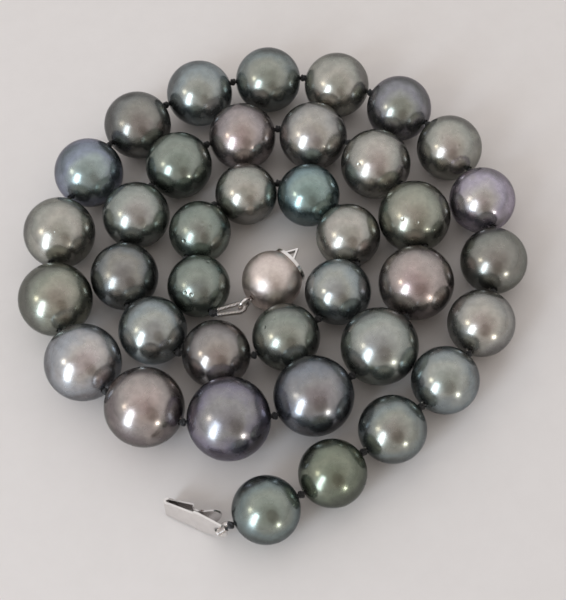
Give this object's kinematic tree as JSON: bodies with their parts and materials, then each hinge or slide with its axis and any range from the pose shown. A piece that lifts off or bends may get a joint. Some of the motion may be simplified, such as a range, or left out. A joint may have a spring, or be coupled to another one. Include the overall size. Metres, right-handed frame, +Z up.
{
  "type": "pearl necklace",
  "caption": "Knotted strand of graduated dark pearls with a ball clasp, coiled flat into a spiral that uncoils into a loop for the neck.",
  "frame": {"origin": "on the table plane, under the middle of the box round the coiled strand", "axes": "+Z up from the table; +Y from the tongue's end of the coil, at the front, to its back; +X to the right"},
  "size_m": [0.0764, 0.0834, 0.012],
  "materials": {
    "nacre_blue_teal": "high nacre lustre, opaque",
    "nacre_olive_green": "high nacre lustre, opaque",
    "nacre_grey_green": "high nacre lustre, opaque",
    "nacre_dark_green": "high nacre lustre, opaque",
    "nacre_warm_grey": "high nacre lustre, opaque",
    "nacre_lavender_grey": "high nacre lustre, opaque",
    "nacre_rose_beige": "high nacre lustre, opaque",
    "dark_silk": "twisted thread, knotted",
    "satin_white_metal": "satin",
    "polished_white_metal": "polished",
    "spring_metal": "polished, finely striated",
    "coiled_wire": "coiled fine wire"
  },
  "bodies": {
    "pearl_19": {"pearl_19": "nacre_lavender_grey", "silk_cord": "dark_silk"},
    "pearl_01": {"pearl_01": "nacre_blue_teal"},
    "pearl_02": {"pearl_02": "nacre_olive_green"},
    "pearl_03": {"pearl_03": "nacre_grey_green"},
    "pearl_04": {"pearl_04": "nacre_grey_green"},
    "pearl_05": {"pearl_05": "nacre_warm_grey"},
    "pearl_06": {"pearl_06": "nacre_dark_green"},
    "pearl_07": {"pearl_07": "nacre_lavender_grey"},
    "pearl_08": {"pearl_08": "nacre_grey_green"},
    "pearl_09": {"pearl_09": "nacre_olive_green"},
    "pearl_10": {"pearl_10": "nacre_grey_green"},
    "pearl_11": {"pearl_11": "nacre_dark_green"},
    "pearl_12": {"pearl_12": "nacre_olive_green"},
    "pearl_13": {"pearl_13": "nacre_warm_grey"},
    "pearl_14": {"pearl_14": "nacre_blue_teal"},
    "pearl_15": {"pearl_15": "nacre_grey_green"},
    "pearl_16": {"pearl_16": "nacre_olive_green"},
    "pearl_17": {"pearl_17": "nacre_lavender_grey"},
    "pearl_18": {"pearl_18": "nacre_rose_beige"},
    "pearl_20": {"pearl_20": "nacre_lavender_grey"},
    "pearl_21": {"pearl_21": "nacre_grey_green"},
    "pearl_22": {"pearl_22": "nacre_rose_beige"},
    "pearl_23": {"pearl_23": "nacre_rose_beige"},
    "pearl_24": {"pearl_24": "nacre_rose_beige"},
    "pearl_25": {"pearl_25": "nacre_rose_beige"},
    "pearl_26": {"pearl_26": "nacre_rose_beige"},
    "pearl_27": {"pearl_27": "nacre_dark_green"},
    "pearl_28": {"pearl_28": "nacre_warm_grey"},
    "pearl_29": {"pearl_29": "nacre_dark_green"},
    "pearl_30": {"pearl_30": "nacre_blue_teal"},
    "pearl_31": {"pearl_31": "nacre_warm_grey"},
    "pearl_32": {"pearl_32": "nacre_dark_green"},
    "pearl_33": {"pearl_33": "nacre_lavender_grey"},
    "pearl_34": {"pearl_34": "nacre_grey_green"},
    "pearl_35": {"pearl_35": "nacre_blue_teal"},
    "pearl_36": {"pearl_36": "nacre_grey_green"},
    "pearl_37": {"pearl_37": "nacre_dark_green"},
    "pearl_38": {"pearl_38": "nacre_dark_green"},
    "ball_end_loop": {"ball_end_loop": "coiled_wire"},
    "ball": {"ball_front_shell": "satin_white_metal", "ball_rear_shell": "satin_white_metal", "mouth_plate": "polished_white_metal", "mouth_bridge": "polished_white_metal", "ball_eyelet": "polished_white_metal"},
    "tongue_end_loop": {"tongue_end_loop": "coiled_wire"},
    "tongue": {"tongue_main_leaf": "polished_white_metal"},
    "spring_leaf": {"tongue_spring_leaf": "spring_metal"}
  },
  "joints": [
    {"name": "uncoil", "type": "hinge", "parent": "pearl_19", "child": "pearl_20", "pos_m": [-0.00249, -0.02361, 0.00589], "axis": [0, 0, -1], "range_deg": [0, 16.18], "deforming": ["silk_cord"]},
    {"name": "knot_20_bend", "type": "hinge", "parent": "pearl_20", "child": "pearl_21", "pos_m": [0.00918, -0.01908, 0.00573], "axis": [0, 0, -1], "range_deg": [0, 10.99]},
    {"name": "knot_21_bend", "type": "hinge", "parent": "pearl_21", "child": "pearl_22", "pos_m": [0.01838, -0.01092, 0.00563], "axis": [0, 0, -1], "range_deg": [0, 15.82]},
    {"name": "knot_22_bend", "type": "hinge", "parent": "pearl_22", "child": "pearl_23", "pos_m": [0.02319, 0.00019, 0.00554], "axis": [0, 0, -1], "range_deg": [0, 21.07]},
    {"name": "knot_23_bend", "type": "hinge", "parent": "pearl_23", "child": "pearl_24", "pos_m": [0.02178, 0.01206, 0.00547], "axis": [0, 0, -1], "range_deg": [0, 20.8]},
    {"name": "knot_24_bend", "type": "hinge", "parent": "pearl_24", "child": "pearl_25", "pos_m": [0.01476, 0.02155, 0.0054], "axis": [0, 0, -1], "range_deg": [0, 20.55]},
    {"name": "knot_25_bend", "type": "hinge", "parent": "pearl_25", "child": "pearl_26", "pos_m": [0.00409, 0.02632, 0.00533], "axis": [0, 0, -1], "range_deg": [0, 20.32]},
    {"name": "knot_26_bend", "type": "hinge", "parent": "pearl_26", "child": "pearl_27", "pos_m": [-0.00742, 0.02531, 0.00527], "axis": [0, 0, -1], "range_deg": [0, 20.1]},
    {"name": "knot_27_bend", "type": "hinge", "parent": "pearl_27", "child": "pearl_28", "pos_m": [-0.01692, 0.01895, 0.00522], "axis": [0, 0, -1], "range_deg": [0, 19.9]},
    {"name": "knot_28_bend", "type": "hinge", "parent": "pearl_28", "child": "pearl_29", "pos_m": [-0.02219, 0.00892, 0.00516], "axis": [0, 0, -1], "range_deg": [0, 19.84]},
    {"name": "knot_29_bend", "type": "hinge", "parent": "pearl_29", "child": "pearl_30", "pos_m": [-0.02207, -0.0023, 0.00511], "axis": [0, 0, -1], "range_deg": [0, 29.44]},
    {"name": "knot_30_bend", "type": "hinge", "parent": "pearl_30", "child": "pearl_31", "pos_m": [-0.01515, -0.01101, 0.00506], "axis": [0, 0, -1], "range_deg": [0, 32.05]},
    {"name": "knot_31_bend", "type": "hinge", "parent": "pearl_31", "child": "pearl_32", "pos_m": [-0.00433, -0.01313, 0.00501], "axis": [0, 0, -1], "range_deg": [0, 26.58]},
    {"name": "knot_32_bend", "type": "hinge", "parent": "pearl_32", "child": "pearl_33", "pos_m": [0.00567, -0.00872, 0.00497], "axis": [0, 0, -1], "range_deg": [0, 17.26]},
    {"name": "knot_33_bend", "type": "hinge", "parent": "pearl_33", "child": "pearl_34", "pos_m": [0.01274, -0.00051, 0.00492], "axis": [0, 0, -1], "range_deg": [0, 38.99]},
    {"name": "knot_34_bend", "type": "hinge", "parent": "pearl_34", "child": "pearl_35", "pos_m": [0.01155, 0.01016, 0.00488], "axis": [0, 0, -1], "range_deg": [0, 40.22]},
    {"name": "knot_35_bend", "type": "hinge", "parent": "pearl_35", "child": "pearl_36", "pos_m": [0.00285, 0.01633, 0.00483], "axis": [0, 0, -1], "range_deg": [0, 39.87]},
    {"name": "knot_36_bend", "type": "hinge", "parent": "pearl_36", "child": "pearl_37", "pos_m": [-0.00747, 0.01403, 0.00479], "axis": [0, 0, -1], "range_deg": [0, 39.53]},
    {"name": "knot_37_bend", "type": "hinge", "parent": "pearl_37", "child": "pearl_38", "pos_m": [-0.01271, 0.00494, 0.00475], "axis": [0, 0, -1], "range_deg": [0, 39.2]},
    {"name": "ball_loop_swing", "type": "hinge", "parent": "pearl_38", "child": "ball_end_loop", "pos_m": [-0.00964, -0.00501, 0.00461], "axis": [0, 0, -1], "range_deg": [0, 77]},
    {"name": "ball_swing", "type": "hinge", "parent": "ball_end_loop", "child": "ball", "pos_m": [-0.0055, -0.00471, 0.00461], "axis": [0, 0, -1], "range_deg": [0, 32.5]},
    {"name": "knot_18_bend", "type": "hinge", "parent": "pearl_19", "child": "pearl_18", "pos_m": [-0.0154, -0.02257, 0.00589], "axis": [0, 0, 1], "range_deg": [0, 17.88]},
    {"name": "knot_17_bend", "type": "hinge", "parent": "pearl_18", "child": "pearl_17", "pos_m": [-0.026, -0.01593, 0.00573], "axis": [0, 0, 1], "range_deg": [0, 18.64]},
    {"name": "knot_16_bend", "type": "hinge", "parent": "pearl_17", "child": "pearl_16", "pos_m": [-0.03214, -0.00528, 0.00563], "axis": [0, 0, 1], "range_deg": [0, 15.96]},
    {"name": "knot_15_bend", "type": "hinge", "parent": "pearl_16", "child": "pearl_15", "pos_m": [-0.03314, 0.00679, 0.00554], "axis": [0, 0, 1], "range_deg": [0, 11.55]},
    {"name": "knot_14_bend", "type": "hinge", "parent": "pearl_15", "child": "pearl_14", "pos_m": [-0.02988, 0.01829, 0.00547], "axis": [0, 0, 1], "range_deg": [0, 11.4]},
    {"name": "knot_13_bend", "type": "hinge", "parent": "pearl_14", "child": "pearl_13", "pos_m": [-0.0229, 0.02781, 0.0054], "axis": [0, 0, 1], "range_deg": [0, 11.27]},
    {"name": "knot_12_bend", "type": "hinge", "parent": "pearl_13", "child": "pearl_12", "pos_m": [-0.01317, 0.03428, 0.00533], "axis": [0, 0, 1], "range_deg": [0, 11.14]},
    {"name": "knot_11_bend", "type": "hinge", "parent": "pearl_12", "child": "pearl_11", "pos_m": [-0.00195, 0.03703, 0.00527], "axis": [0, 0, 1], "range_deg": [0, 11.03]},
    {"name": "knot_10_bend", "type": "hinge", "parent": "pearl_11", "child": "pearl_10", "pos_m": [0.00943, 0.03584, 0.00522], "axis": [0, 0, 1], "range_deg": [0, 10.91]},
    {"name": "knot_09_bend", "type": "hinge", "parent": "pearl_10", "child": "pearl_09", "pos_m": [0.01965, 0.03096, 0.00516], "axis": [0, 0, 1], "range_deg": [0, 10.81]},
    {"name": "knot_08_bend", "type": "hinge", "parent": "pearl_09", "child": "pearl_08", "pos_m": [0.02762, 0.02306, 0.00511], "axis": [0, 0, 1], "range_deg": [0, 10.71]},
    {"name": "knot_07_bend", "type": "hinge", "parent": "pearl_08", "child": "pearl_07", "pos_m": [0.0325, 0.01307, 0.00506], "axis": [0, 0, 1], "range_deg": [0, 10.61]},
    {"name": "knot_06_bend", "type": "hinge", "parent": "pearl_07", "child": "pearl_06", "pos_m": [0.03387, 0.00213, 0.00501], "axis": [0, 0, 1], "range_deg": [0, 10.52]},
    {"name": "knot_05_bend", "type": "hinge", "parent": "pearl_06", "child": "pearl_05", "pos_m": [0.03165, -0.00857, 0.00497], "axis": [0, 0, 1], "range_deg": [0, 10.43]},
    {"name": "knot_04_bend", "type": "hinge", "parent": "pearl_05", "child": "pearl_04", "pos_m": [0.02618, -0.01792, 0.00492], "axis": [0, 0, 1], "range_deg": [0, 10.34]},
    {"name": "knot_03_bend", "type": "hinge", "parent": "pearl_04", "child": "pearl_03", "pos_m": [0.01809, -0.025, 0.00488], "axis": [0, 0, 1], "range_deg": [0, 1.64]},
    {"name": "knot_02_bend", "type": "hinge", "parent": "pearl_03", "child": "pearl_02", "pos_m": [0.009, -0.03056, 0.00483], "axis": [0, 0, 1], "range_deg": [-4.09, 0]},
    {"name": "knot_01_bend", "type": "hinge", "parent": "pearl_02", "child": "pearl_01", "pos_m": [-0.00037, -0.03545, 0.00479], "axis": [0, 0, 1], "range_deg": [0, 3.55]},
    {"name": "tongue_loop_swing", "type": "hinge", "parent": "pearl_01", "child": "tongue_end_loop", "pos_m": [-0.01045, -0.03836, 0.00477], "axis": [0, 0, 1], "range_deg": [0, 49]},
    {"name": "tongue_lift", "type": "hinge", "parent": "tongue_end_loop", "child": "tongue", "pos_m": [-0.0121, -0.03789, 0.00256], "axis": [0.5474, 0.8063, -0.224], "range_deg": [0, 60]},
    {"name": "spring_squeeze", "type": "hinge", "parent": "tongue", "child": "spring_leaf", "pos_m": [-0.01903, -0.03303, 0.00148], "axis": [-0.0462, -0.2381, -0.9701], "range_deg": [0, 5], "stiffness_Nm_per_rad": 0.02}
  ],
  "couplings": [
    {"joint": "knot_20_bend", "follows": "uncoil", "ratio": 0.67926},
    {"joint": "knot_21_bend", "follows": "uncoil", "ratio": 0.97776},
    {"joint": "knot_22_bend", "follows": "uncoil", "ratio": 1.3021},
    {"joint": "knot_23_bend", "follows": "uncoil", "ratio": 1.2853},
    {"joint": "knot_24_bend", "follows": "uncoil", "ratio": 1.2699},
    {"joint": "knot_25_bend", "follows": "uncoil", "ratio": 1.2557},
    {"joint": "knot_26_bend", "follows": "uncoil", "ratio": 1.2424},
    {"joint": "knot_27_bend", "follows": "uncoil", "ratio": 1.2297},
    {"joint": "knot_28_bend", "follows": "uncoil", "ratio": 1.2262},
    {"joint": "knot_29_bend", "follows": "uncoil", "ratio": 1.8192},
    {"joint": "knot_30_bend", "follows": "uncoil", "ratio": 1.9808},
    {"joint": "knot_31_bend", "follows": "uncoil", "ratio": 1.6429},
    {"joint": "knot_32_bend", "follows": "uncoil", "ratio": 1.0666},
    {"joint": "knot_33_bend", "follows": "uncoil", "ratio": 2.4096},
    {"joint": "knot_34_bend", "follows": "uncoil", "ratio": 2.4857},
    {"joint": "knot_35_bend", "follows": "uncoil", "ratio": 2.4642},
    {"joint": "knot_36_bend", "follows": "uncoil", "ratio": 2.4433},
    {"joint": "knot_37_bend", "follows": "uncoil", "ratio": 2.4229},
    {"joint": "ball_loop_swing", "follows": "uncoil", "ratio": 4.759},
    {"joint": "ball_swing", "follows": "uncoil", "ratio": 2.0087},
    {"joint": "knot_18_bend", "follows": "uncoil", "ratio": 1.1046},
    {"joint": "knot_17_bend", "follows": "uncoil", "ratio": 1.152},
    {"joint": "knot_16_bend", "follows": "uncoil", "ratio": 0.98618},
    {"joint": "knot_15_bend", "follows": "uncoil", "ratio": 0.71393},
    {"joint": "knot_14_bend", "follows": "uncoil", "ratio": 0.70448},
    {"joint": "knot_13_bend", "follows": "uncoil", "ratio": 0.69618},
    {"joint": "knot_12_bend", "follows": "uncoil", "ratio": 0.68849},
    {"joint": "knot_11_bend", "follows": "uncoil", "ratio": 0.68126},
    {"joint": "knot_10_bend", "follows": "uncoil", "ratio": 0.67441},
    {"joint": "knot_09_bend", "follows": "uncoil", "ratio": 0.66788},
    {"joint": "knot_08_bend", "follows": "uncoil", "ratio": 0.66163},
    {"joint": "knot_07_bend", "follows": "uncoil", "ratio": 0.65561},
    {"joint": "knot_06_bend", "follows": "uncoil", "ratio": 0.64981},
    {"joint": "knot_05_bend", "follows": "uncoil", "ratio": 0.64419},
    {"joint": "knot_04_bend", "follows": "uncoil", "ratio": 0.63873},
    {"joint": "knot_03_bend", "follows": "uncoil", "ratio": 0.10114},
    {"joint": "knot_02_bend", "follows": "uncoil", "ratio": -0.25289},
    {"joint": "knot_01_bend", "follows": "uncoil", "ratio": 0.21902},
    {"joint": "tongue_loop_swing", "follows": "uncoil", "ratio": 3.0284}
  ]
}
